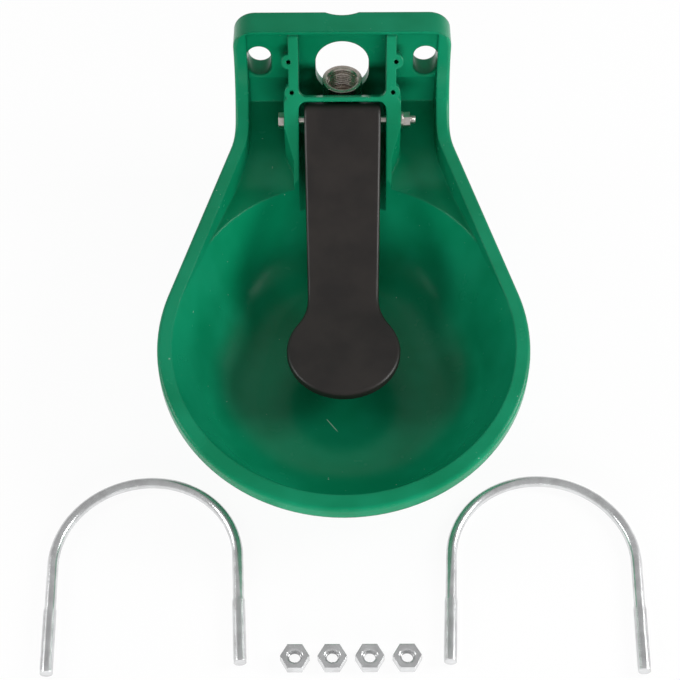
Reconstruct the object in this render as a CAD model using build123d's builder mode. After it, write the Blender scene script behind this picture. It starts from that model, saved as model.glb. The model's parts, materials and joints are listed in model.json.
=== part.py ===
from build123d import *
from math import asin, atan, cos, degrees, hypot, radians, sin, tan
import os

os.makedirs("parts", exist_ok=True)

# Livestock drinking bowl for a wall or a post, in millimetres.
# The origin is midway between the two upper mounting slots, on the wall plane.
# +X is to the right for a person who faces the bowl, +Y runs to the wall and +Z is up.
# A size named "out" is a distance out from the wall, so it lies along -Y.

# Back plate
slot_spacing = 120.0
plate_half_width = 78.1
plate_top = 31.0
plate_depth = 21.0
plate_back = 12.0
plate_corner = 16.0
pad_depth = 17.0
pad_bottom = -16.0
lower_wall = 8.0
slot_width = 17.0
slot_length = 27.0
lower_slot_drop = 98.0
pipe_groove_radius = 25.0
pipe_groove_depth = 3.1
slot_lip = 1.3

# Rim and basin
bowl_radius = 125.0
bowl_centre_out = 226.0
basin_rear_centre_out = 177.5
basin_rear_radius = 105.2
neck_out = 53.9164
neck_blend = 70.0
flange_width = 9.7
flange_height = 9.0
rim_edge = 2.5
skirt_step = 3.5
rim_front_height = -74.0
rim_slope = 6.9
rim_sweep_radius = 50.0
floor_height = -130.0
wall = 6.0
bowl_draft = 23.0
basin_floor_blend = 40.0
foot_blend = 16.0
draft_start = -62.0
neck_draft = 9.0
neck_end_out = 130.0

# Shelf behind the basin, at both sides of the channel
shelf_rear_height = -47.0
shelf_low_height = -62.0
shelf_low_out = 84.0
shelf_end_height = -55.0
shelf_end_out = 200.0
shelf_blend = 60.0

# Valve chamber and channel
chamber_half_width = 31.5
rib_thickness = 7.0
lip_out = 48.0
lip_height = -10.6
lip_thickness = 3.2
lip_reach = 9.0
chamber_corner = 6.0
chamber_top = 28.0
big_hole_width = 39.0
big_hole_top = 11.0
big_hole_bottom = -38.0
web_top = -41.0
web_thickness = 6.0
web_out = 37.0
channel_floor = -80.0
boss_radius = 5.2
boss_depth = 16.0
boss_screw_radius = 1.6
boss_screw_depth = 12.0
upper_boss_x = 38.4
upper_boss_height = 13.1
lower_boss_x = 36.3
lower_boss_height = -5.2

# Pivot and ears
pivot_out = 50.0
pivot_height = -26.6
ear_thickness = 10.6
ear_radius = 12.0
ear_foot_out = 57.1
ear_chamfer = 3.5
ear_web_out = 73.0
channel_wall = 4.0
wall_foot_out = 88.0
bolt_radius = 3.0
bolt_head_flats = 10.0
bolt_head_height = 4.2
bolt_head_chamfer = 0.5
ear_hole_clearance = 0.1
hub_clearance = 0.05
washer_radius = 6.2
washer_thickness = 1.6
nut_height = 5.0
bolt_past_nut = 4.0

# Paddle
hub_radius = 12.5
hub_width = 55.0
arm_end_width = 48.0
arm_side_blend = 240.0
arm_bend_out = 166.0
arm_bend_blend = 45.0
tongue_radius = 39.3
tongue_out = 212.0
tongue_height = -88.0
tongue_thickness = 7.0
tongue_blend = 40.0
paddle_edge = 2.4
heel_width = 14.0
heel_depth = 8.0
heel_below = 6.0
heel_gap = 0.4

# Inlet socket, with the inside thread of a half-inch pipe
pipe_thread_radius = 10.48
pipe_thread_depth = 17.0
socket_radius = 14.4
socket_out = 22.5
socket_mouth = -12.0
socket_bore_radius = 6.5
mouth_chamfer = 1.2
spigot_radius = 9.0
spigot_length = 12.0
spigot_clearance = 0.05
gasket_thickness = 1.5
gasket_radius = 13.0

# Valve
housing_radius = 13.5
housing_height = -62.5
housing_rear_out = 8.3
housing_front_out = 36.0
housing_rear_wall = 3.0
housing_bore_radius = 9.5
housing_inner_radius = 8.2
housing_boss_radius = 12.5
seat_rear_out = 28.0
seat_thickness = 3.0
seat_bore_radius = 4.5
seal_radius = 7.0
seal_thickness = 3.0
stem_radius = 2.5
stem_collar_radius = 4.6
stem_collar_thickness = 1.5
stem_tail = 7.0
stem_end_out = 46.0
guide_clearance = 0.06
clip_radius = 3.9
clip_thickness = 0.8
spring_wire_radius = 0.55
spring_radius = 3.9
spring_turns = 5
cap_flange_radius = 12.5
cap_flange_thickness = 4.0
cap_hollow_radius = 6.5
cap_nose_thickness = 3.0
cap_port_radius = 1.4
cap_port_count = 4
fit_gap = 0.05
o_ring_radius = 8.6
o_ring_wire = 0.88
o_ring_out = 33.6

# U-bolts and their nuts
u_rod_radius = 3.6
u_thread_radius = 4.0
u_leg_length = 76.0
u_thread_length = 44.0
u_bend_x = 129.7
u_bend_out = 356.8
u_turn = 3.3
u_nut_flats = 16.0
u_nut_height = 6.5
u_nut_hole_radius = 4.2
u_nut_mouth = 0.9
u_nut_out = 426.0
u_nut_first_x = -31.5
u_nut_pitch = 23.4

# Places worked out from the sizes above
reach = 500.0
bowl_depth = 110.0
slot_x = slot_spacing / 2
rim_turn = radians(rim_slope)
front_out = bowl_centre_out + bowl_radius
rim_rise = tan(rim_turn)
flare_run = bowl_centre_out - neck_out
flare_turn = asin(bowl_radius / hypot(plate_half_width, flare_run)) - atan(plate_half_width / flare_run)
basin_radius = bowl_radius - flange_width
basin_floor = floor_height + wall
face_slope = (plate_top - lip_height) / (lip_out - plate_depth)
face_angle = degrees(atan(face_slope))
ear_outer = chamber_half_width + ear_thickness
web_bottom = web_top - web_thickness
tongue_base = tongue_height - tongue_thickness
gasket_top = web_top + gasket_thickness
collar_rear_out = seat_rear_out - seal_thickness - stem_collar_thickness
spring_rear_out = housing_rear_out + housing_rear_wall
cap_front_out = housing_front_out + cap_flange_thickness
heel_rear_out = stem_end_out + heel_gap


def rim_height(out):
    """Height of the rim's straight stretch at a distance out from the wall."""
    return rim_front_height + (front_out - out) * rim_rise


def face_height(out):
    """Height of the sloping chamber face at a distance out from the wall."""
    return plate_top - (out - plate_depth) * face_slope


def face_out(height):
    """Distance out from the wall of the sloping chamber face at a height."""
    return plate_depth + (plate_top - height) / face_slope


def face_plane(x, height):
    """Plane on the sloping chamber face, looking out of it, with its y up the slope."""
    normal = (0, -sin(radians(face_angle)), cos(radians(face_angle)))
    return Plane(origin=(x, -face_out(height), height), x_dir=(1, 0, 0), z_dir=normal)


def plan_outline(inset, back):
    """The bowl's outline seen from above, inset from the rim's edge; its rear edge lies at Y = back."""
    radius = bowl_radius - inset
    side = plate_half_width - inset
    tangent_x = radius * cos(flare_turn)
    tangent_y = -bowl_centre_out + radius * sin(flare_turn)
    bend_y = tangent_y + (tangent_x - side) / tan(flare_turn)
    front_y = -bowl_centre_out - radius
    with BuildSketch(mode=Mode.PRIVATE) as outline:
        with BuildLine():
            Polyline((0, back), (side, back), (side, bend_y), (tangent_x, tangent_y))
            RadiusArc((tangent_x, tangent_y), (0, front_y), radius)
            Line((0, front_y), (0, back))
        make_face()
        bend = outline.vertices().sort_by_distance((side, bend_y, 0))[0]
        fillet(bend, neck_blend)
        mirror(about=Plane.YZ)
    return outline.sketch


def basin_outline(outward):
    """The basin's outline in the rim plane: a wide round front and a narrower round rear."""
    rear_centre = (bowl_centre_out - basin_rear_centre_out) / cos(rim_turn)
    with BuildSketch(mode=Mode.PRIVATE) as outline:
        Circle(basin_radius + outward)
        with Locations((0, rear_centre)):
            Circle(basin_rear_radius + outward)
        make_hull()
    return outline.sketch


def neck_outline(inset):
    """What lies behind the bowl seen from above, with a front edge that slants in to the basin."""
    corner_x = plate_half_width + neck_blend / 4
    with BuildSketch(mode=Mode.PRIVATE) as outline:
        with BuildLine():
            Polyline(
                (-reach, reach),
                (-reach, inset - neck_end_out),
                (-corner_x, inset - neck_end_out),
                (0, inset - basin_rear_centre_out),
                (corner_x, inset - neck_end_out),
                (reach, inset - neck_end_out),
                (reach, reach),
                close=True,
            )
        make_face()
    return outline.sketch


# Plane of the rim's straight stretch, its y running back and its origin over the bowl's centre
rim_plane = Plane(
    origin=(0, -bowl_centre_out, rim_height(bowl_centre_out)),
    x_dir=(1, 0, 0),
    z_dir=(0, -sin(rim_turn), cos(rim_turn)),
)


def side_profile(lower):
    """Side view below the rim line, which is lowered and drawn back by the same amount."""
    front = -reach
    corner_height = rim_height(plate_depth - lower) - lower
    with BuildSketch(Plane.YZ, mode=Mode.PRIVATE) as profile:
        with BuildLine():
            Polyline(
                (0, floor_height),
                (0, plate_top + lower),
                (-plate_depth + lower, plate_top + lower),
                (-plate_depth + lower, corner_height),
                (front, rim_height(-front) - lower),
                (front, floor_height),
                close=True,
            )
        make_face()
        sweep_corner = profile.vertices().sort_by_distance((-plate_depth + lower, corner_height, 0))[0]
        fillet(sweep_corner, rim_sweep_radius + lower)
    return profile.sketch_local


def on_rim(edge):
    """Whether an edge of the flange's blank bounds the surface that faces up and out."""
    middle = edge @ 0.5
    out = -middle.Y
    sweep_centre = rim_sweep_radius * tan((radians(90) - rim_turn) / 2)
    sweep_height = rim_height(plate_depth) + sweep_centre
    sweep_end_out = plate_depth + sweep_centre * cos(rim_turn)
    along_x = edge.geom_type == GeomType.LINE and abs((edge % 0.5).X) > 0.999
    if along_x and middle.Z < plate_top - 1:
        return False
    if out < plate_depth - fit_gap:
        return False
    if out < plate_depth + fit_gap:
        return middle.Z > sweep_height - 1
    if out < sweep_end_out:
        return middle.Z > rim_height(out)
    return abs(middle.Z - rim_height(out)) < fit_gap


def top_corners():
    """What is cut off the plate's two top corners, seen from the front."""
    with BuildSketch(mode=Mode.PRIVATE) as corners:
        with Locations((0, plate_top)):
            Rectangle(2 * plate_half_width, 2 * plate_corner)
        with Locations((0, plate_top - plate_corner)):
            RectangleRounded(
                2 * plate_half_width,
                2 * plate_corner,
                plate_corner - fit_gap,
                mode=Mode.SUBTRACT,
            )
    return corners.sketch


# Space inside the basin: sides that lean in from the rim to a well rounded floor
with BuildPart() as basin_space:
    with BuildSketch(rim_plane):
        add(basin_outline(0))
    extrude(amount=-bowl_depth, taper=bowl_draft)
    with BuildSketch(Plane.XY.offset(basin_floor)):
        Rectangle(2 * reach, 2 * reach)
    extrude(amount=reach, mode=Mode.INTERSECT)
    fillet(basin_space.edges().group_by(Axis.Z)[0], basin_floor_blend)
    with BuildSketch(rim_plane):
        add(basin_outline(0))
    extrude(amount=flange_height)
    with BuildSketch(Plane.XY.offset(floor_height)):
        add(plan_outline(flange_width, 0))
    extrude(amount=reach, mode=Mode.INTERSECT)

# The basin with its wall, and the same with a foot to stand on
with BuildPart() as basin_shell:
    with BuildSketch(rim_plane):
        add(basin_outline(flange_width - skirt_step))
    extrude(amount=-bowl_depth, taper=bowl_draft)
with BuildPart() as bowl_outside:
    add(basin_shell.part)
    with BuildSketch(Plane.XY.offset(floor_height)):
        Rectangle(2 * reach, 2 * reach)
    extrude(amount=reach, mode=Mode.INTERSECT)
    fillet(bowl_outside.edges().group_by(Axis.Z)[0], foot_blend)
    with BuildSketch(Plane.XY.offset(floor_height)):
        add(plan_outline(skirt_step, 0))
    extrude(amount=reach, mode=Mode.INTERSECT)

# Space of the two side pockets above the sloping shelf
with BuildPart() as pocket_space:
    with BuildSketch(Plane.XY.offset(floor_height)):
        add(plan_outline(flange_width, 0))
    extrude(amount=plate_top + plate_depth - floor_height)
    with BuildSketch(Plane.YZ) as pocket_profile:
        with BuildLine():
            Polyline(
                (-lower_wall, pad_bottom),
                (-lower_wall, shelf_rear_height),
                (-shelf_low_out, shelf_low_height),
                (-shelf_end_out, shelf_end_height),
                (-shelf_end_out, chamber_top),
                (-pad_depth, chamber_top),
                (-pad_depth, pad_bottom),
                close=True,
            )
        make_face()
        shelf_turn = pocket_profile.vertices().sort_by_distance((-shelf_low_out, shelf_low_height, 0))[0]
        fillet(shelf_turn, shelf_blend)
    extrude(amount=reach, both=True, mode=Mode.INTERSECT)

# Hollow under the shelf, behind the basin and open below, where the lower nuts are reached
with BuildPart() as underside_space:
    with BuildSketch(Plane.XY.offset(draft_start)):
        add(plan_outline(skirt_step + wall, 0))
    extrude(amount=floor_height - wall - draft_start, taper=neck_draft)
    with BuildSketch(Plane.XY.offset(floor_height - wall)):
        add(neck_outline(wall))
    extrude(amount=reach, mode=Mode.INTERSECT)
    with BuildSketch(Plane.YZ):
        with BuildLine():
            Polyline(
                (-plate_back, draft_start),
                (-plate_back, floor_height - wall),
                (-basin_rear_centre_out, floor_height - wall),
                (-basin_rear_centre_out, shelf_end_height - wall),
                (-shelf_low_out, shelf_low_height - wall),
                close=True,
            )
        make_face()
    extrude(amount=reach, both=True, mode=Mode.INTERSECT)
    add(basin_shell.part, mode=Mode.SUBTRACT)
    with BuildSketch(Plane.YZ):
        with Locations((-reach / 2, channel_floor - wall)):
            Rectangle(reach, reach, align=(Align.CENTER, Align.MIN))
    extrude(amount=chamber_half_width + channel_wall, both=True, mode=Mode.SUBTRACT)

# Flange round the rim, wider than the body below it, with its upper edge rounded all round
with BuildPart() as rim_flange:
    with BuildSketch(Plane.XY.offset(floor_height)):
        add(plan_outline(0, 0))
    extrude(amount=plate_top - floor_height)
    with BuildSketch(Plane.YZ):
        add(side_profile(0))
    extrude(amount=reach, both=True, mode=Mode.INTERSECT)
    with BuildSketch(Plane.XZ):
        add(top_corners())
    extrude(amount=plate_depth, mode=Mode.SUBTRACT)
    upper_edges = [edge for edge in rim_flange.edges() if on_rim(edge)]
    fillet(upper_edges, rim_edge)
    with BuildSketch(Plane.YZ):
        add(side_profile(flange_height))
    extrude(amount=reach, both=True, mode=Mode.SUBTRACT)

# The right ear, with a web from its foot to the wall of the channel
with BuildPart() as right_ear:
    ear_top = lip_height + lip_thickness
    with BuildSketch(Plane.YZ.offset(chamber_half_width)):
        with BuildLine():
            Polyline(
                (-face_out(ear_top), ear_top),
                (-ear_foot_out, face_height(ear_foot_out)),
                (-pivot_out, pivot_height - ear_radius),
                (-pivot_out + ear_radius, pivot_height - ear_radius),
                (-pivot_out + ear_radius, ear_top),
                close=True,
            )
        make_face()
        with Locations((-pivot_out, pivot_height)):
            Circle(ear_radius - lip_thickness)
    extrude(amount=ear_thickness)
    ear_corner = right_ear.edges().sort_by_distance((ear_outer, -face_out(ear_top), ear_top))[:3]
    chamfer([edge for edge in ear_corner if abs((edge % 0.5).Y) > 0.9], ear_chamfer)
    with BuildSketch(Plane.XY.offset(shelf_low_height)):
        with BuildLine():
            Polyline(
                (chamber_half_width, -pivot_out),
                (ear_outer, -pivot_out),
                (ear_outer, -ear_foot_out),
                (chamber_half_width + channel_wall, -ear_web_out),
                (chamber_half_width, -ear_web_out),
                close=True,
            )
        make_face()
    extrude(amount=pivot_height - shelf_low_height)
    with BuildSketch(Plane.YZ.offset(chamber_half_width)):
        with BuildLine():
            Polyline(
                (0, plate_top),
                (-face_out(plate_top), plate_top),
                (-ear_foot_out, face_height(ear_foot_out)),
                (-wall_foot_out, shelf_low_height),
                (0, shelf_low_height),
                close=True,
            )
        make_face()
    extrude(amount=ear_thickness, mode=Mode.INTERSECT)

# Bowl body, one moulding
with BuildPart() as bowl_body:
    with BuildSketch(Plane.XY.offset(draft_start)):
        add(plan_outline(skirt_step, 0))
    extrude(amount=plate_top - draft_start)
    with BuildSketch(Plane.XY.offset(draft_start)):
        add(plan_outline(skirt_step, reach / 10))
    extrude(amount=floor_height - draft_start, taper=neck_draft)
    with BuildSketch(Plane.XY.offset(floor_height)):
        add(neck_outline(0))
    extrude(amount=reach, mode=Mode.INTERSECT)
    add(bowl_outside.part)
    with BuildSketch(Plane.YZ):
        add(side_profile(0))
    extrude(amount=reach, both=True, mode=Mode.INTERSECT)
    with BuildSketch(Plane.XZ):
        with Locations((0, floor_height)):
            Rectangle(2 * plate_half_width, plate_top - floor_height, align=(Align.CENTER, Align.MIN))
    extrude(amount=plate_back)
    add(rim_flange.part)
    add(pocket_space.part, mode=Mode.SUBTRACT)
    add(basin_space.part, mode=Mode.SUBTRACT)
    add(underside_space.part, mode=Mode.SUBTRACT)

    # Ribs beside the chamber, which run on as the walls of the channel
    with BuildSketch(Plane.YZ.offset(chamber_half_width)):
        with BuildLine():
            Polyline(
                (-lower_wall / 2, plate_top - lip_thickness),
                (-face_out(plate_top - lip_thickness), plate_top - lip_thickness),
                (-ear_foot_out, face_height(ear_foot_out)),
                (-pivot_out, pivot_height - ear_radius),
                (-lower_wall / 2, pivot_height - ear_radius),
                close=True,
            )
        make_face()
    ribs = extrude(amount=rib_thickness)
    mirror(ribs, about=Plane.YZ)
    with BuildSketch(Plane.YZ.offset(chamber_half_width)):
        with BuildLine():
            Polyline(
                (-lower_wall / 2, lip_height),
                (-face_out(lip_height), lip_height),
                (-ear_foot_out, face_height(ear_foot_out)),
                (-wall_foot_out, shelf_low_height),
                (-wall_foot_out, channel_floor - wall),
                (-lower_wall / 2, channel_floor - wall),
                close=True,
            )
        make_face()
    channel_walls = extrude(amount=channel_wall)
    mirror(channel_walls, about=Plane.YZ)
    add(basin_space.part, mode=Mode.SUBTRACT)

    # Thick ears that carry the pivot bolt
    add(right_ear.part)
    mirror(right_ear.part, about=Plane.YZ)

    # Chamber, channel and the hole for the pipe
    chamber_height = chamber_top - web_top
    with BuildSketch(Plane.XZ.offset(lower_wall)):
        with Locations((0, web_top + chamber_height / 2)):
            RectangleRounded(2 * chamber_half_width, chamber_height, chamber_corner)
    extrude(amount=basin_rear_centre_out, mode=Mode.SUBTRACT)
    with BuildSketch(Plane.YZ):
        with BuildLine():
            Polyline(
                (-lower_wall, channel_floor),
                (-lower_wall, web_bottom),
                (-web_out, web_bottom),
                (-web_out, chamber_top),
                (-basin_rear_centre_out, chamber_top),
                (-basin_rear_centre_out, channel_floor),
                close=True,
            )
        make_face()
    extrude(amount=chamber_half_width, both=True, mode=Mode.SUBTRACT)
    big_hole_height = big_hole_top - big_hole_bottom
    with BuildSketch(Plane.XZ):
        with Locations((0, (big_hole_top + big_hole_bottom) / 2)):
            SlotOverall(big_hole_height, big_hole_width, rotation=90)
    extrude(amount=lower_wall, mode=Mode.SUBTRACT)

    # Lip across the foot of the chamber
    with BuildSketch(face_plane(0, lip_height)):
        Rectangle(2 * chamber_half_width, lip_thickness, align=(Align.CENTER, Align.MIN))
    extrude(amount=-lip_reach)
    lip_corners = bowl_body.edges().filter_by(
        lambda edge: abs(abs((edge @ 0.5).X) - chamber_half_width) < fit_gap
        and (edge @ 0.5 - face_plane(0, lip_height).origin).dot(face_plane(0, 0).y_dir) > 0
        and abs((edge % 0.5).dot(face_plane(0, 0).z_dir)) > 0.999
        and abs(edge.length - lip_reach) < 1
    )
    fillet(lip_corners, chamber_corner)

    # Bosses for the screws of a cover
    for side in (-1, 1):
        for boss_x, boss_height in ((upper_boss_x, upper_boss_height), (lower_boss_x, lower_boss_height)):
            boss_plane = face_plane(side * boss_x, boss_height)
            with BuildSketch(boss_plane):
                Circle(boss_radius)
            extrude(amount=-boss_depth)
            with BuildSketch(boss_plane):
                Circle(boss_screw_radius)
            extrude(amount=-boss_screw_depth, mode=Mode.SUBTRACT)

    # Mounting slots, upper pair through the pads and lower pair under the shelf
    with BuildSketch(Plane.XZ):
        with Locations((-slot_x, 0), (slot_x, 0)):
            SlotOverall(slot_length, slot_width, rotation=90)
        with Locations((-slot_x, -lower_slot_drop), (slot_x, -lower_slot_drop)):
            SlotOverall(slot_length, slot_width, rotation=90)
    extrude(amount=plate_depth, mode=Mode.SUBTRACT)
    slot_mouths = bowl_body.edges().filter_by(
        lambda edge: abs((edge @ 0.5).Y + pad_depth) < fit_gap
        and abs((edge @ 0.5).Z) <= slot_length / 2 + fit_gap
        and abs(abs((edge @ 0.5).X) - slot_x) <= slot_width / 2 + fit_gap
    )
    fillet(slot_mouths, slot_lip)

    # Hinge bore through both ears
    with BuildSketch(Plane.YZ):
        with Locations((-pivot_out, pivot_height)):
            Circle(bolt_radius + ear_hole_clearance)
    extrude(amount=ear_outer + wall, both=True, mode=Mode.SUBTRACT)

    # Groove down the back for the pipe
    with BuildSketch(Plane.XY.offset(floor_height)):
        with Locations((0, pipe_groove_radius - pipe_groove_depth)):
            Circle(pipe_groove_radius)
    extrude(amount=plate_top - floor_height, mode=Mode.SUBTRACT)

    # Rounded top corners
    with BuildSketch(Plane.XZ):
        add(top_corners())
    extrude(amount=plate_depth, mode=Mode.SUBTRACT)
bowl_body.part.label = "bowl_body"
export_step(bowl_body.part, "parts/bowl_body.step")


# Paddle: hub, arm and round tongue in one piece
with BuildPart() as paddle:
    hub_front_out = pivot_out + hub_radius
    with BuildSketch(Plane.XY.offset(floor_height)) as paddle_plan:
        with BuildLine():
            Polyline(
                (-hub_width / 2, -pivot_out + hub_radius),
                (hub_width / 2, -pivot_out + hub_radius),
                (hub_width / 2, -hub_front_out),
                (arm_end_width / 2, -tongue_out),
                (-arm_end_width / 2, -tongue_out),
                (-hub_width / 2, -hub_front_out),
                close=True,
            )
        make_face()
        arm_corners = paddle_plan.vertices().filter_by(lambda corner: abs(corner.Y + hub_front_out) < fit_gap)
        fillet(arm_corners, arm_side_blend)
        with Locations((0, -tongue_out)):
            Circle(tongue_radius)
        necks = paddle_plan.vertices().filter_by(lambda corner: -tongue_out < corner.Y < -arm_bend_out)
        fillet(necks, tongue_blend)
    extrude(amount=plate_top - floor_height)

    # In side view the arm runs off the hub as a tangent and bends level at the tongue
    bend_run = arm_bend_out - pivot_out
    bend_fall = pivot_height - tongue_height
    arm_turn = atan(bend_fall / bend_run) + asin(hub_radius / hypot(bend_run, bend_fall))
    arm_start_out = pivot_out + hub_radius * sin(arm_turn)
    arm_start_height = pivot_height + hub_radius * cos(arm_turn)
    with BuildSketch(Plane.YZ) as arm_profile:
        with BuildLine():
            Polyline(
                (-arm_start_out, arm_start_height),
                (-arm_bend_out, tongue_height),
                (-reach, tongue_height),
                (-reach, tongue_base),
                (-arm_bend_out, tongue_base),
                (-arm_start_out, arm_start_height - tongue_thickness),
                (-pivot_out, pivot_height),
                close=True,
            )
        make_face()
        upper_bend = arm_profile.vertices().sort_by_distance((-arm_bend_out, tongue_height, 0))[0]
        lower_bend = arm_profile.vertices().sort_by_distance((-arm_bend_out, tongue_base, 0))[0]
        fillet([upper_bend, lower_bend], arm_bend_blend)
        with Locations((-pivot_out, pivot_height)):
            Circle(hub_radius)
        arm_root = arm_profile.vertices().filter_by(
            lambda corner: corner.X > -hub_front_out - fit_gap and corner.Y < arm_start_height - fit_gap
        )
        fillet(arm_root, heel_depth / 2)
    extrude(amount=reach, both=True, mode=Mode.INTERSECT)
    outer_edges = paddle.edges().filter_by(
        lambda edge: abs((edge % 0.5).Z) < 0.999
        and not (edge.geom_type == GeomType.LINE and abs((edge % 0.5).X) > 0.999)
    )
    fillet(outer_edges, paddle_edge)
    with BuildSketch(Plane.YZ):
        with BuildLine():
            Polyline(
                (-heel_rear_out, pivot_height),
                (-heel_rear_out, housing_height - heel_below),
                (-heel_rear_out - heel_depth, housing_height - heel_below),
                (-heel_rear_out - 2 * heel_depth, pivot_height),
                close=True,
            )
        make_face()
    extrude(amount=heel_width / 2, both=True)
    with BuildSketch(Plane.YZ):
        with Locations((-pivot_out, pivot_height)):
            Circle(bolt_radius + hub_clearance)
    extrude(amount=hub_width, both=True, mode=Mode.SUBTRACT)
paddle.part.label = "paddle"
export_step(paddle.part, "parts/paddle.step")

# Pivot bolt, its head against the left ear
bolt_grip = 2 * ear_outer
bolt_length = bolt_grip + washer_thickness + nut_height + bolt_past_nut
pivot_plane = Plane(origin=(-ear_outer, -pivot_out, pivot_height), x_dir=(0, 1, 0), z_dir=(1, 0, 0))
with BuildPart() as pivot_bolt:
    with BuildSketch(pivot_plane):
        RegularPolygon(bolt_head_flats / 2, 6, major_radius=False)
    extrude(amount=-bolt_head_height)
    chamfer(pivot_bolt.faces().sort_by(Axis.X)[0].edges(), bolt_head_chamfer)
    with BuildSketch(pivot_plane):
        Circle(bolt_radius)
    extrude(amount=bolt_length)
    chamfer(pivot_bolt.faces().sort_by(Axis.X)[-1].edges(), bolt_head_chamfer)
pivot_bolt.part.label = "pivot_bolt"
export_step(pivot_bolt.part, "parts/pivot_bolt.step")

with BuildPart() as pivot_washer:
    with BuildSketch(pivot_plane.offset(bolt_grip)):
        Circle(washer_radius)
        Circle(bolt_radius + ear_hole_clearance, mode=Mode.SUBTRACT)
    extrude(amount=washer_thickness)
pivot_washer.part.label = "pivot_washer"
export_step(pivot_washer.part, "parts/pivot_washer.step")

with BuildPart() as pivot_nut:
    with BuildSketch(pivot_plane.offset(bolt_grip + washer_thickness)):
        RegularPolygon(bolt_head_flats / 2, 6, major_radius=False)
        Circle(bolt_radius + fit_gap, mode=Mode.SUBTRACT)
    extrude(amount=nut_height)
pivot_nut.part.label = "pivot_nut"
export_step(pivot_nut.part, "parts/pivot_nut.step")

# Inlet socket, which stands on the web and screws into the valve housing
with BuildPart() as inlet_socket:
    with Locations((0, -socket_out, gasket_top)):
        Cylinder(socket_radius, socket_mouth - gasket_top, align=(Align.CENTER, Align.CENTER, Align.MIN))
        Cylinder(spigot_radius, spigot_length, align=(Align.CENTER, Align.CENTER, Align.MAX))
    with Locations((0, -socket_out, socket_mouth)):
        Cylinder(
            pipe_thread_radius,
            pipe_thread_depth,
            align=(Align.CENTER, Align.CENTER, Align.MAX),
            mode=Mode.SUBTRACT,
        )
        Cylinder(
            socket_bore_radius,
            reach,
            align=(Align.CENTER, Align.CENTER, Align.MAX),
            mode=Mode.SUBTRACT,
        )
    chamfer(inlet_socket.faces().sort_by(Axis.Z)[-1].inner_wires()[0].edges(), mouth_chamfer)
inlet_socket.part.label = "inlet_socket"
export_step(inlet_socket.part, "parts/inlet_socket.step")

with BuildPart() as socket_gasket:
    with BuildSketch(Plane.XY.offset(web_top)):
        with Locations((0, -socket_out)):
            Circle(gasket_radius)
            Circle(spigot_radius + fit_gap, mode=Mode.SUBTRACT)
    extrude(amount=gasket_thickness)
socket_gasket.part.label = "socket_gasket"
export_step(socket_gasket.part, "parts/socket_gasket.step")


def across(out):
    """Plane square to the valve's axis at a distance out from the wall, facing out."""
    return Plane(origin=(0, -out, housing_height), x_dir=(1, 0, 0), z_dir=(0, -1, 0))


# Valve housing, clamped under the web
housing_length = housing_front_out - housing_rear_out
with BuildPart() as valve_housing:
    with BuildSketch(across(housing_rear_out)):
        Circle(housing_radius)
    extrude(amount=housing_length)
    with BuildSketch(Plane.XY.offset(housing_height)):
        with Locations((0, -socket_out)):
            Circle(housing_boss_radius)
    extrude(amount=web_bottom - housing_height)
    with BuildSketch(across(spring_rear_out)):
        Circle(housing_inner_radius)
    extrude(amount=housing_length, mode=Mode.SUBTRACT)
    with BuildSketch(across(seat_rear_out)):
        Circle(housing_bore_radius)
    extrude(amount=housing_length, mode=Mode.SUBTRACT)
    with BuildSketch(Plane.XY.offset(web_bottom)):
        with Locations((0, -socket_out)):
            Circle(spigot_radius + spigot_clearance)
    extrude(amount=-spigot_length, mode=Mode.SUBTRACT)
    with BuildSketch(Plane.XY.offset(web_bottom)):
        with Locations((0, -socket_out)):
            Circle(socket_bore_radius)
    extrude(amount=housing_height - web_bottom, mode=Mode.SUBTRACT)
valve_housing.part.label = "valve_housing"
export_step(valve_housing.part, "parts/valve_housing.step")

with BuildPart() as valve_seat:
    with BuildSketch(across(seat_rear_out)):
        Circle(housing_bore_radius - fit_gap)
        Circle(seat_bore_radius, mode=Mode.SUBTRACT)
    extrude(amount=seat_thickness)
valve_seat.part.label = "valve_seat"
export_step(valve_seat.part, "parts/valve_seat.step")

with BuildPart() as valve_seal:
    with BuildSketch(across(seat_rear_out - seal_thickness)):
        Circle(seal_radius)
        Circle(stem_radius, mode=Mode.SUBTRACT)
    extrude(amount=seal_thickness)
valve_seal.part.label = "valve_seal"
export_step(valve_seal.part, "parts/valve_seal.step")

# Stem with the collar that the spring bears on
with BuildPart() as valve_stem:
    with BuildSketch(across(collar_rear_out - stem_tail)):
        Circle(stem_radius)
    extrude(amount=stem_end_out - collar_rear_out + stem_tail)
    with BuildSketch(across(collar_rear_out)):
        Circle(stem_collar_radius)
    extrude(amount=stem_collar_thickness)
    chamfer(valve_stem.faces().sort_by(Axis.Y)[0].edges(), bolt_head_chamfer)
valve_stem.part.label = "valve_stem"
export_step(valve_stem.part, "parts/valve_stem.step")

with BuildPart() as stem_clip:
    with BuildSketch(across(seat_rear_out)):
        Circle(clip_radius)
        Circle(stem_radius, mode=Mode.SUBTRACT)
    extrude(amount=clip_thickness)
stem_clip.part.label = "stem_clip"
export_step(stem_clip.part, "parts/stem_clip.step")

# Return spring, from the rear wall of the housing to the collar
spring_run = collar_rear_out - spring_rear_out - 2 * spring_wire_radius
spring_start = (0, -spring_rear_out - spring_wire_radius, housing_height)
with BuildPart() as valve_spring:
    with BuildLine() as spring_path:
        Helix(
            pitch=spring_run / spring_turns,
            height=spring_run,
            radius=spring_radius,
            center=spring_start,
            direction=(0, -1, 0),
        )
    with BuildSketch(Plane(origin=spring_path.line @ 0, z_dir=spring_path.line % 0)):
        Circle(spring_wire_radius)
    sweep(path=spring_path.line, is_frenet=True)
valve_spring.part.label = "valve_spring"
export_step(valve_spring.part, "parts/valve_spring.step")

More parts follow.
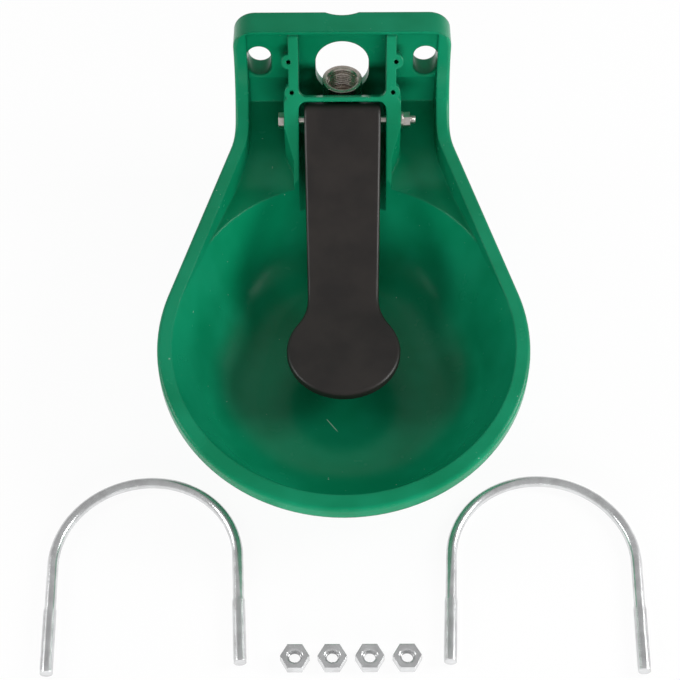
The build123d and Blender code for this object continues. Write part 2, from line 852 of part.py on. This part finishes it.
# Cap that guides the stem, with its outlet ports
with BuildPart() as valve_cap:
    sleeve_length = housing_front_out - seat_rear_out - seat_thickness
    with BuildSketch(across(housing_front_out)):
        Circle(cap_flange_radius)
    extrude(amount=cap_flange_thickness)
    with BuildSketch(across(housing_front_out)):
        Circle(housing_bore_radius - fit_gap)
    extrude(amount=-sleeve_length)
    with BuildSketch(across(cap_front_out - cap_nose_thickness)):
        Circle(cap_hollow_radius)
    extrude(amount=-cap_flange_thickness - sleeve_length, mode=Mode.SUBTRACT)
    with BuildSketch(across(cap_front_out)):
        Circle(stem_radius + guide_clearance)
        with PolarLocations((stem_radius + cap_hollow_radius) / 2, cap_port_count):
            Circle(cap_port_radius)
    extrude(amount=-cap_nose_thickness, mode=Mode.SUBTRACT)
    with Locations(across(o_ring_out)):
        Torus(o_ring_radius, o_ring_wire + fit_gap, mode=Mode.SUBTRACT)
valve_cap.part.label = "valve_cap"
export_step(valve_cap.part, "parts/valve_cap.step")

with BuildPart() as cap_o_ring:
    with Locations(across(o_ring_out)):
        Torus(o_ring_radius, o_ring_wire)
cap_o_ring.part.label = "cap_o_ring"
export_step(cap_o_ring.part, "parts/cap_o_ring.step")

# Two U-bolts, flat on the floor in front of the bowl
for name, side in (("u_bolt_left", -1), ("u_bolt_right", 1)):
    u_height = floor_height + u_thread_radius
    u_plane = Plane(origin=(side * u_bend_x, -u_bend_out, u_height)).rotated((0, 0, -side * u_turn))
    with BuildPart() as u_bolt:
        with BuildLine(u_plane) as u_path:
            leg_x = slot_spacing / 2
            first_leg = Line((-leg_x, -u_leg_length), (-leg_x, 0))
            bend = RadiusArc(first_leg @ 1, (leg_x, 0), leg_x)
            Line(bend @ 1, (leg_x, -u_leg_length))
        with BuildSketch(Plane(origin=u_path.line @ 0, z_dir=u_path.line % 0)):
            Circle(u_rod_radius)
        sweep(path=u_path.line)
        for leg in (-1, 1):
            tip = Plane(
                origin=u_plane.from_local_coords((leg * leg_x, -u_leg_length, 0)),
                x_dir=u_plane.x_dir,
                z_dir=u_plane.y_dir,
            )
            with BuildSketch(tip):
                Circle(u_thread_radius)
            extrude(amount=u_thread_length)
    u_bolt.part.label = name
    export_step(u_bolt.part, f"parts/{name}.step")

# Their four nuts, in a row on the floor
for number in range(4):
    nut_x = u_nut_first_x + number * u_nut_pitch
    with BuildPart() as u_bolt_nut:
        with BuildSketch(Plane.XY.offset(floor_height)):
            with Locations((nut_x, -u_nut_out)):
                RegularPolygon(u_nut_flats / 2, 6, major_radius=False)
                Circle(u_nut_hole_radius, mode=Mode.SUBTRACT)
        extrude(amount=u_nut_height)
        mouths = u_bolt_nut.edges().filter_by(GeomType.CIRCLE)
        chamfer(mouths, u_nut_mouth)
    u_bolt_nut.part.label = f"u_bolt_nut_{number + 1}"
    export_step(u_bolt_nut.part, f"parts/u_bolt_nut_{number + 1}.step")
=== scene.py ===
# %% [markdown]
# A drinking bowl for cattle and horses.
# The moulded bowl, its lever, valve and screws come from a solid model as fixed pieces.
# This lesson gives them their finishes, winds the threads, adds the small marks of use,
# and sets up the camera and the lamps of a plain studio.

import json
import math

import bpy
from mathutils import Matrix, Vector

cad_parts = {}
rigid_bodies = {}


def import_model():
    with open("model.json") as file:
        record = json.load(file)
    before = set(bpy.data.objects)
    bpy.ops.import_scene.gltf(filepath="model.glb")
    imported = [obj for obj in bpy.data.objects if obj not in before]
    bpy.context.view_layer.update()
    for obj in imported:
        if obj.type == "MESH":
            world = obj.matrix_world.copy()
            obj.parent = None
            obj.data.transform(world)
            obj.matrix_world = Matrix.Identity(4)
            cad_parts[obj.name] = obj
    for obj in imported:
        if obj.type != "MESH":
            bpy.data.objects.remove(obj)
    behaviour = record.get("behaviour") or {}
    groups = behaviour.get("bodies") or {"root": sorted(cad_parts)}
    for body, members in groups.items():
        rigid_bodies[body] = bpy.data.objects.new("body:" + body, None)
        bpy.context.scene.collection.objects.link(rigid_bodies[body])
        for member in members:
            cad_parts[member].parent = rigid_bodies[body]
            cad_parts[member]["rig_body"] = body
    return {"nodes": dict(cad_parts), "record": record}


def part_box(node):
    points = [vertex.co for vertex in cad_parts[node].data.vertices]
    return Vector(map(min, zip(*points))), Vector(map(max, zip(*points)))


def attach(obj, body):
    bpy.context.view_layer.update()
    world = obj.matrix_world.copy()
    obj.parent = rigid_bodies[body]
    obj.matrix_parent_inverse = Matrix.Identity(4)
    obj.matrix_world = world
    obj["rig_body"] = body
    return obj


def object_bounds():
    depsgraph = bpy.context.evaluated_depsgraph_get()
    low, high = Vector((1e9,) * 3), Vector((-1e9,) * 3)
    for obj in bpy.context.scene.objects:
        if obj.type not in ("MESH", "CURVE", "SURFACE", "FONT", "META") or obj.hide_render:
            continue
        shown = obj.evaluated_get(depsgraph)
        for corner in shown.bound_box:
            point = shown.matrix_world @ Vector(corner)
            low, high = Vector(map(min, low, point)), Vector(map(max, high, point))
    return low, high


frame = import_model()
cad_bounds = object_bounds()
nodes = frame["nodes"]
materials_of = {entry["node"]: entry["material_slot"] for entry in frame["record"]["subparts"]}
MM = 0.001
print("pieces of the frame:", len(nodes))

# %% [markdown]
# A finish is a small network of shader nodes.
# Wiring nodes one by one hides the idea, so a socket is wrapped in a class here and
# the arithmetic on it is written as Python: 1 - mask adds one Math node by itself.


# %% Shader maths as Python expressions
class Signal:
    """An output socket of a tree of nodes that can be added, multiplied and so on."""

    def __init__(self, wiring, socket):
        self.wiring = wiring
        self.socket = socket

    def maths(self, operation, first, second=0.0):
        return self.wiring.node("ShaderNodeMath", {"operation": operation}, {0: first, 1: second})

    def __add__(self, other):
        return self.maths("ADD", self, other)

    __radd__ = __add__

    def __sub__(self, other):
        return self.maths("SUBTRACT", self, other)

    def __rsub__(self, other):
        return self.maths("SUBTRACT", other, self)

    def __mul__(self, other):
        return self.maths("MULTIPLY", self, other)

    __rmul__ = __mul__

    def __abs__(self):
        return self.maths("ABSOLUTE", self)

    def clamp(self):
        return self.maths("MINIMUM", self.maths("MAXIMUM", self, 0.0), 1.0)


print("operators of a signal: + - * and abs")

# %% [markdown]
# Everything that isn't plain arithmetic comes from one method. It takes a node's type,
# its settings, which are set first, and the values or links of its sockets.
# Colours are mixed by a Mix node, because a Math node would turn them grey.
# The world has a tree of nodes as a material has, so both use this class.


# %% A tree of shader nodes
class Wiring:
    """A tree of shader nodes: method node adds one, and feed gives a socket its value or link."""

    # A Mix node has sockets of one name for numbers, vectors and colours, so these go by place.
    MIX_FACTOR = 0
    MIX_FIRST = 6
    MIX_SECOND = 7
    MIX_COLOUR = 2

    def __init__(self, tree):
        self.tree = tree

    def node(self, kind, settings=None, inputs=None, output=0):
        made = self.tree.nodes.new(kind)
        for name, value in (settings or {}).items():
            if name == "stops":
                self.set_stops(made.color_ramp, value)
            else:
                setattr(made, name, value)
        for name, value in (inputs or {}).items():
            self.feed(made.inputs[name], value)
        if isinstance(output, tuple):
            return [Signal(self, made.outputs[key]) for key in output]
        return Signal(self, made.outputs[output])

    def set_stops(self, ramp, stops):
        """Replace the stops of a colour ramp by pairs of a position and a colour."""
        while len(ramp.elements) > 1:
            ramp.elements.remove(ramp.elements[-1])
        ramp.elements[0].position, ramp.elements[0].color = stops[0]
        for position, colour in stops[1:]:
            ramp.elements.new(position).color = colour

    def feed(self, socket, value):
        if isinstance(value, Signal):
            self.tree.links.new(value.socket, socket)
        else:
            socket.default_value = value

    def mix(self, factor, first, second):
        """The first colour where factor is 0, the second where it is 1."""
        inputs = {self.MIX_FACTOR: factor, self.MIX_FIRST: first, self.MIX_SECOND: second}
        return self.node("ShaderNodeMix", {"data_type": "RGBA"}, inputs, self.MIX_COLOUR)


def grey(level):
    """A grey given by its share of the light."""
    return (level, level, level, 1.0)


def rgb(red, green, blue):
    """A colour given in the eye's steps of 0 to 255, as the linear values that a shader wants."""
    def linear(step):
        level = step / 255
        return level / 12.92 if level <= 0.04045 else ((level + 0.055) / 1.055) ** 2.4
    return (linear(red), linear(green), linear(blue), 1.0)


print("middle grey of the eye, as light:", round(rgb(128, 128, 128)[0], 3))

# %% [markdown]
# Every finish here is one Principled shader with patterns behind it. The patterns are placed
# by the piece's own coordinates, so they move with a piece that turns.
# A moulded or forged piece has no knife-sharp edge. Its edges could be rounded in the mesh,
# but a bevelled normal gives the same line of light and leaves the fixed pieces as they are.


# %% A finish
class Finish(Wiring):
    """A material: shade feeds its Principled shader."""

    BEVEL_SAMPLES = 6

    def __init__(self, name):
        self.material = bpy.data.materials.new(name)
        self.material.use_nodes = True
        super().__init__(self.material.node_tree)
        self.shader = self.tree.nodes["Principled BSDF"]
        self.place = self.node("ShaderNodeTexCoord", output="Object")

    def shade(self, **inputs):
        for name, value in inputs.items():
            self.feed(self.shader.inputs[name.replace("_", " ")], value)
        return self.material

    def noise(self, scale, detail=2.0, roughness=0.5):
        inputs = {"Vector": self.place, "Scale": scale, "Detail": detail, "Roughness": roughness}
        return self.node("ShaderNodeTexNoise", None, inputs, "Fac")

    def step(self, value, low, high):
        """0 below low, 1 above high and smooth between them."""
        settings = {"interpolation_type": "SMOOTHSTEP"}
        inputs = {"Value": value, "From Min": low, "From Max": high}
        return self.node("ShaderNodeMapRange", settings, inputs)

    def bump(self, height, strength, distance, edge=0.8 * MM):
        """A normal tilted by a height, over edges that look rounded by a radius."""
        soft = self.node("ShaderNodeBevel", {"samples": self.BEVEL_SAMPLES}, {"Radius": edge}, "Normal")
        inputs = {"Height": height, "Strength": strength, "Distance": distance, "Normal": soft}
        return self.node("ShaderNodeBump", None, inputs, "Normal")


finishes = {}
print("slots to fill:", ", ".join(sorted(set(materials_of.values()))))

# %% [markdown]
# The bowl is moulded in one piece from green plastic with a glossy skin.
# The mould leaves faint swirls of pigment and a skin that isn't quite flat, so a slow
# noise moves the colour a little and a second one tilts the highlights.
# Handling leaves marks: one short scratch on the basin's floor and a few specks of dust.
# A painted image could hold them. Here they are worked out, so they stay sharp at any size:
# the scratch's mask measures how far a point is from a line, and how far along.

# %% The green plastic
SCRATCH_START = Vector((-12.0 * MM, -246.0 * MM))
SCRATCH_END = Vector((-4.0 * MM, -257.0 * MM))
SCRATCH_HALF_WIDTH = 0.45 * MM
SCRATCH_CORE = 0.3
SCRATCH_OVERRUN = 0.5 * MM
SCRATCH_START_FADE = 1.5 * MM
SCRATCH_END_FADE = 3.0 * MM
SCRATCH_TOP = -118.0 * MM
SCRATCH_DEPTH = 1.0 * MM
SCRATCH_STRENGTH = 0.8
DUST_STRENGTH = 0.5


def scratch_mask(finish):
    """1 on one short straight line on the basin's floor, and 0 elsewhere."""
    x, y, z = finish.node("ShaderNodeSeparateXYZ", None, {0: finish.place}, ("X", "Y", "Z"))
    run = SCRATCH_END - SCRATCH_START
    unit = run.normalized()
    east = x - SCRATCH_START.x
    north = y - SCRATCH_START.y
    along = east * unit.x + north * unit.y
    off = east * unit.y - north * unit.x
    beside = finish.step(abs(off), SCRATCH_HALF_WIDTH, SCRATCH_CORE * SCRATCH_HALF_WIDTH)
    started = finish.step(along, -SCRATCH_OVERRUN, SCRATCH_START_FADE)
    ended = finish.step(along, run.length + SCRATCH_OVERRUN, run.length - SCRATCH_END_FADE)
    low = finish.step(z, SCRATCH_TOP, SCRATCH_TOP - SCRATCH_DEPTH)
    return beside * started * ended * low


def green_plastic():
    finish = Finish("green_plastic")
    cloud = finish.noise(scale=14.0, detail=3.0, roughness=0.55)
    deep = rgb(5, 121, 82)
    pale = rgb(15, 134, 95)
    worn = rgb(176, 205, 186)
    clean = finish.mix(finish.step(cloud, 0.35, 0.65), deep, pale)
    specks = finish.noise(scale=420.0, detail=1.0, roughness=0.3)
    dust = finish.step(specks, 0.80, 0.84) * DUST_STRENGTH
    waves = finish.noise(scale=45.0)
    marks = (scratch_mask(finish) * SCRATCH_STRENGTH + dust).clamp()
    return finish.shade(
        Base_Color=finish.mix(marks, clean, worn),
        Roughness=0.22 + 0.08 * finish.noise(scale=60.0, detail=3.0),
        Specular_IOR_Level=0.2,
        Normal=finish.bump(waves, strength=0.05, distance=0.3 * MM, edge=2.0 * MM),
    )


finishes["green_plastic"] = green_plastic()
print("scratch on the basin:", round((SCRATCH_END - SCRATCH_START).length / MM, 1), "mm long")

# %% [markdown]
# The lever is black plastic with a satin skin that scatters the light.
# A rough surface alone would look like paint, so a very fine noise tilts it as a moulded grain does.


# %% The black plastic of the lever
def black_plastic():
    finish = Finish("black_plastic")
    cloud = finish.noise(scale=30.0, detail=3.0, roughness=0.6)
    soot = rgb(30, 27, 26)
    rubbed = rgb(40, 36, 34)
    grain = finish.noise(scale=1400.0, roughness=0.6)
    return finish.shade(
        Base_Color=finish.mix(finish.step(cloud, 0.3, 0.7), soot, rubbed),
        Roughness=0.36 + 0.12 * finish.noise(scale=80.0, detail=3.0),
        Specular_IOR_Level=0.4,
        Normal=finish.bump(grain, strength=0.12, distance=0.15 * MM, edge=1.0 * MM),
    )


finishes["black_plastic"] = black_plastic()
print("nodes behind the lever's finish:", len(finishes["black_plastic"].node_tree.nodes))

# %% [markdown]
# The screws are steel and the valve is brass. A rolled or turned surface is never one shade,
# so a fine noise moves both its colour and its shine a little. Zinc plating scatters part of
# the light as paint does, so it isn't wholly metallic.
# One function makes every metal, because they differ only in colour, shine and grain.

# %% Metals and rubber
SHINE_GRAIN = 2.5
TOOL_GRAIN = 6


def metal(name, dark, light, roughness, scale=220.0, metallic=1.0, bump=0.08):
    """A metal whose shine and tool marks are finer than its shades by the two grains."""
    finish = Finish(name)
    cloud = finish.noise(scale, detail=4.0, roughness=0.6)
    marks = finish.noise(scale * TOOL_GRAIN)
    return finish.shade(
        Base_Color=finish.mix(finish.step(cloud, 0.3, 0.7), dark, light),
        Metallic=metallic,
        Roughness=roughness + 0.12 * finish.noise(scale * SHINE_GRAIN),
        Normal=finish.bump(marks, strength=bump, distance=0.1 * MM),
    )


def rubber():
    finish = Finish("rubber")
    cloud = finish.noise(scale=300.0, detail=3.0)
    return finish.shade(
        Base_Color=finish.mix(cloud, rgb(20, 20, 20), rgb(34, 33, 33)),
        Roughness=0.7 + 0.15 * finish.noise(scale=500.0),
    )


finishes["stainless"] = metal(
    "stainless", rgb(200, 194, 186), rgb(226, 221, 215), roughness=0.24,
)
finishes["socket_steel"] = metal(
    "socket_steel", rgb(204, 193, 182), rgb(234, 225, 216), roughness=0.2, bump=0.02,
)
finishes["zinc_steel"] = metal(
    "zinc_steel", rgb(206, 206, 207), rgb(226, 227, 228), roughness=0.15,
    scale=90.0, metallic=0.78, bump=0.015,
)
finishes["brass"] = metal(
    "brass", rgb(176, 136, 70), rgb(202, 162, 92), roughness=0.25,
)
finishes["rubber"] = rubber()
print("finishes:", ", ".join(finishes))

# %% [markdown]
# The record of the frame names one material slot for each piece.
# Every piece loses the material that it came with and gets the finish of that name.

# %% Finishes on the pieces
for node, slot in materials_of.items():
    piece = nodes[node]
    piece.data.materials.clear()
    piece.data.materials.append(finishes[slot])
print("pieces finished:", len(materials_of))

# %% [markdown]
# Screw threads are too fine for the solid model, so they are wound here.
# A Screw modifier could wind them too. A few lines of Python show better what a thread is:
# one small triangle that turns about an axis and moves along it, one pitch each turn.
# It grows over the first turn and shrinks over the last one.
# The same function makes outside threads, where the crest is the larger radius, and inside ones.

# %% A function that winds a thread
FLANK = 0.44


def thread_mesh(name, root, crest, pitch, length, place, axis, steps):
    """A helical ridge from root to crest radius that starts at place and runs along axis."""
    along = Vector(axis).normalized()
    across = along.orthogonal().normalized()
    other = along.cross(across)
    count = int(length / pitch * steps)
    verts = []
    for index in range(count + 1):
        angle = index * math.tau / steps
        ray = across * math.cos(angle) + other * math.sin(angle)
        rise = index * pitch / steps
        fade = min(1.0, index / steps, (count - index) / steps)
        top = root + (crest - root) * fade
        for radius, shift in ((root, -FLANK), (top, 0.0), (root, FLANK)):
            verts.append(Vector(place) + ray * radius + along * (rise + shift * pitch))
    faces = []
    for index in range(count):
        first = 3 * index
        for corner in range(3):
            following = (corner + 1) % 3
            faces.append((first + corner, first + following, first + 3 + following, first + 3 + corner))
    faces += [(0, 2, 1), (3 * count, 3 * count + 1, 3 * count + 2)]
    mesh = bpy.data.meshes.new(name)
    mesh.from_pydata([tuple(vert) for vert in verts], [], faces)
    if crest < root:
        mesh.flip_normals()
    return mesh


def wind_thread(name, node, root, crest, pitch, length, place, axis, steps):
    """A thread with the finish of the piece that it is cut on, which it follows when that moves."""
    piece = bpy.data.objects.new(name, thread_mesh(name, root, crest, pitch, length, place, axis, steps))
    bpy.context.collection.objects.link(piece)
    slot = materials_of[node]
    piece.data.materials.append(finishes[slot])
    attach(piece, nodes[node]["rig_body"])


print("a flank of the ridge takes", FLANK, "of the pitch")

# %% [markdown]
# The half-inch pipe thread in the socket has 14 ridges to the inch.
# It is cut inwards from the bore, so its crest is the smaller radius.

# %% Thread in the socket
PIPE_PITCH = 1.814 * MM
PIPE_ROOT = 10.5 * MM
PIPE_CREST = 9.4 * MM
PIPE_LENGTH = 13.5 * MM
PIPE_BELOW_MOUTH = 15.6 * MM
low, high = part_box("inlet_socket")
socket_axis = ((low[0] + high[0]) / 2, (low[1] + high[1]) / 2)
wind_thread(
    "socket_thread", "inlet_socket", PIPE_ROOT, PIPE_CREST, PIPE_PITCH, PIPE_LENGTH,
    place=(*socket_axis, high[2] - PIPE_BELOW_MOUTH), axis=(0, 0, 1), steps=40,
)
print("socket thread:", round(PIPE_LENGTH / PIPE_PITCH, 1), "turns")

# %% [markdown]
# The U-bolts carry an 8 mm thread on each leg.
# A U-bolt lies turned on the floor, so its legs aren't parallel to the axes.
# The tip of a leg is worked out from the middle of the bend, and the thread starts behind
# the tip's bare end.

# %% Threads of the U-bolts
BOLT_PITCH = 1.25 * MM
BOLT_ROOT = 3.95 * MM
BOLT_CREST = 4.18 * MM
BOLT_THREAD = 42.5 * MM
BARE_END = 1.2 * MM
LEG_X = 60.0 * MM
LEG_END = 76.0 * MM
BEND_X = 129.7 * MM
BEND_Y = -356.8 * MM
BEND_Z = -126.0 * MM
BOLT_TURN = math.radians(3.3)
for node, side in (("u_bolt_left", -1), ("u_bolt_right", 1)):
    turned = Matrix.Rotation(-side * BOLT_TURN, 3, "Z")
    middle = Vector((side * BEND_X, BEND_Y, BEND_Z))
    back = turned @ Vector((0, 1, 0))
    for leg in (-1, 1):
        tip = middle + turned @ Vector((leg * LEG_X, -LEG_END, 0))
        wind_thread(
            f"{node}_thread_{leg}", node, BOLT_ROOT, BOLT_CREST, BOLT_PITCH, BOLT_THREAD,
            place=tip + back * BARE_END, axis=back, steps=20,
        )
print("U-bolt thread:", round(BOLT_THREAD / BOLT_PITCH, 1), "turns on each of 4 legs")

# %% [markdown]
# A nut's thread is cut inwards from its hole, and the pivot bolt shows a few turns past its nut.
# Their places are read from the boxes of the pieces, so they follow the solid model.

# %% Threads in the nuts and on the pivot bolt
NUT_ROOT = 4.22 * MM
NUT_CREST = 3.5 * MM
NUT_THREAD = 4.6 * MM
NUT_BARE_END = 0.95 * MM
for number in range(1, 5):
    node = f"u_bolt_nut_{number}"
    low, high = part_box(node)
    nut_axis = ((low[0] + high[0]) / 2, (low[1] + high[1]) / 2)
    wind_thread(
        f"{node}_thread", node, NUT_ROOT, NUT_CREST, BOLT_PITCH, NUT_THREAD,
        place=(*nut_axis, low[2] + NUT_BARE_END), axis=(0, 0, 1), steps=24,
    )

PIVOT_ROOT = 2.95 * MM
PIVOT_CREST = 3.25 * MM
PIVOT_PITCH = 1.0 * MM
PIVOT_THREAD = 3.2 * MM
PIVOT_SHOWN = 3.6 * MM
low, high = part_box("pivot_bolt")
bolt_axis = ((low[1] + high[1]) / 2, (low[2] + high[2]) / 2)
wind_thread(
    "pivot_thread", "pivot_bolt", PIVOT_ROOT, PIVOT_CREST, PIVOT_PITCH, PIVOT_THREAD,
    place=(high[0] - PIVOT_SHOWN, *bolt_axis), axis=(1, 0, 0), steps=20,
)
threads = [thing for thing in bpy.data.objects if "thread" in thing.name]
print("threads wound:", len(threads), "with", sum(len(thing.data.polygons) for thing in threads), "faces")

# %% [markdown]
# The photograph looks down into the bowl from the front.
# The lens and the height of the camera were worked out from things of known shape:
# the round mouth of the socket, the hexagon nuts and the two U-bolts on the floor.
# Its place and its tilt were then fitted to the outline of the bowl.

# %% Camera
PHOTO_WIDTH_PX = 680
FOCAL_PX = 1521
SENSOR_WIDTH = 36.0
CAMERA_PLACE = (-0.00245, -0.8552, 0.7418)
LOOK_DOWN = math.radians(51.893)
ROLL = math.radians(-0.245)
camera_data = bpy.data.cameras.new("camera")
camera_data.sensor_fit = "HORIZONTAL"
camera_data.sensor_width = SENSOR_WIDTH
camera_data.lens = FOCAL_PX / PHOTO_WIDTH_PX * SENSOR_WIDTH
camera = bpy.data.objects.new("camera", camera_data)
camera.matrix_world = (
    Matrix.Translation(CAMERA_PLACE)
    @ Matrix.Rotation(math.pi / 2 - LOOK_DOWN, 4, "X")
    @ Matrix.Rotation(ROLL, 4, "Z")
)
bpy.context.collection.objects.link(camera)
bpy.context.scene.camera = camera
bpy.context.scene.view_settings.view_transform = "Standard"
low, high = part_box("bowl_body")
bowl_middle = Vector((0, (low[1] + high[1]) / 2, (low[2] + high[2]) / 2))
print("camera to bowl:", round((bowl_middle - Vector(CAMERA_PLACE)).length, 3), "m")
print("lens:", round(camera_data.lens, 1), "mm")

# %% [markdown]
# The floor is a large white sheet. A white sheet alone comes out grey under soft lamps.
# Brighter lamps would burn out the steel, so the camera sees the sheet mostly as a glow, which
# is nearly white by itself, and what is left of its own shading keeps the soft shadow.

# %% Floor
FLOOR_SIZE = 8.0
FLOOR_GAP = 0.2 * MM
FLOOR_GLOW = 0.94


def white_floor():
    finish = Finish("white_floor")
    finish.shade(Base_Color=rgb(250, 250, 250), Roughness=0.8)
    rays = ("Is Camera Ray", "Is Glossy Ray", "Is Transmission Ray")
    seen, mirrored, through = finish.node("ShaderNodeLightPath", output=rays)
    glow = finish.node("ShaderNodeEmission", None, {"Color": grey(1.0), "Strength": 1.0})
    shaded = Signal(finish, finish.shader.outputs[0])
    share = (seen + mirrored + through).clamp() * FLOOR_GLOW
    both = finish.node("ShaderNodeMixShader", None, {0: share, 1: shaded, 2: glow})
    finish.feed(finish.tree.nodes["Material Output"].inputs[0], both)
    return finish.material


floor_height = cad_bounds[0][2] - FLOOR_GAP
bpy.ops.mesh.primitive_plane_add(size=FLOOR_SIZE, location=(0, 0, floor_height))
floor = bpy.context.object
floor.name = "floor"
floor.data.materials.append(white_floor())
print("floor at", round(floor_height / MM, 1), "mm")

# %% [markdown]
# A plain studio has a soft sky all round. Gloss and metal would show an even sky as a flat grey,
# so what they mirror is pale at the horizon and darker overhead. Matt surfaces get only a weak,
# even light from it, which leaves the shading to the lamps. The camera sees white.

# %% World
SKY_LIGHT = grey(0.20)
SKY_HORIZON = (0.02, grey(0.70))
SKY_OVERHEAD = (0.45, grey(0.40))
world = bpy.data.worlds.new("studio")
world.use_nodes = True
bpy.context.scene.world = world
studio = Wiring(world.node_tree)
seen, mirrored = studio.node("ShaderNodeLightPath", output=("Is Camera Ray", "Is Glossy Ray"))
direction = studio.node("ShaderNodeTexCoord", output="Generated")
height = studio.node("ShaderNodeSeparateXYZ", None, {0: direction}, "Z")
sky = studio.node("ShaderNodeValToRGB", {"stops": (SKY_HORIZON, SKY_OVERHEAD)}, {0: height})
backdrop = studio.mix(seen, studio.mix(mirrored, SKY_LIGHT, sky), grey(1.0))
background = world.node_tree.nodes["Background"]
studio.feed(background.inputs["Color"], backdrop)
studio.feed(background.inputs["Strength"], 1.0)
print("world nodes:", len(world.node_tree.nodes))

# %% [markdown]
# The stronger side lamp stands at the right, so it lights the left wall of the basin and leaves
# the right wall darker. The third lamp is low in front. It fills the back plate and passes over
# the basin, whose floor stays in shade. A weak one behind lifts what faces up.
# Gloss doesn't mirror these two, which would lay a grey veil over the green.

# %% Lamps
SIDE_OUT = 1.30
SIDE_Y = -0.15
SIDE_UP = 0.62
SIDE_SIZE = (0.6, 0.6)
BASIN = (0, -0.22, -0.08)
FRONT_PLACE = (0.15, -1.50, 0.12)
FRONT_SIZE = (0.9, 0.3)
PLATE = (0, 0, 0)
TOP_PLACE = (0.0, 0.55, 1.15)
TOP_SIZE = (1.2, 0.4)
SHELF = (0, -0.1, -0.05)


def area_lamp(name, place, aim, size, watts):
    data = bpy.data.lights.new(name, "AREA")
    data.shape = "RECTANGLE"
    data.size, data.size_y = size
    data.energy = watts
    lamp = bpy.data.objects.new(name, data)
    lamp.location = place
    lamp.rotation_euler = (Vector(aim) - Vector(place)).to_track_quat("-Z", "Y").to_euler()
    bpy.context.collection.objects.link(lamp)
    return lamp


right_lamp = area_lamp("right_lamp", (SIDE_OUT, SIDE_Y, SIDE_UP), BASIN, SIDE_SIZE, watts=15.0)
left_lamp = area_lamp("left_lamp", (-SIDE_OUT, SIDE_Y, SIDE_UP), BASIN, SIDE_SIZE, watts=8.0)
front_lamp = area_lamp("front_lamp", FRONT_PLACE, PLATE, FRONT_SIZE, watts=14.0)
top_lamp = area_lamp("top_lamp", TOP_PLACE, SHELF, TOP_SIZE, watts=3.5)
front_lamp.visible_glossy = False
top_lamp.visible_glossy = False
for lamp in (right_lamp, left_lamp, front_lamp, top_lamp):
    print("lamp:", lamp.name, round(lamp.data.energy, 1), "W")
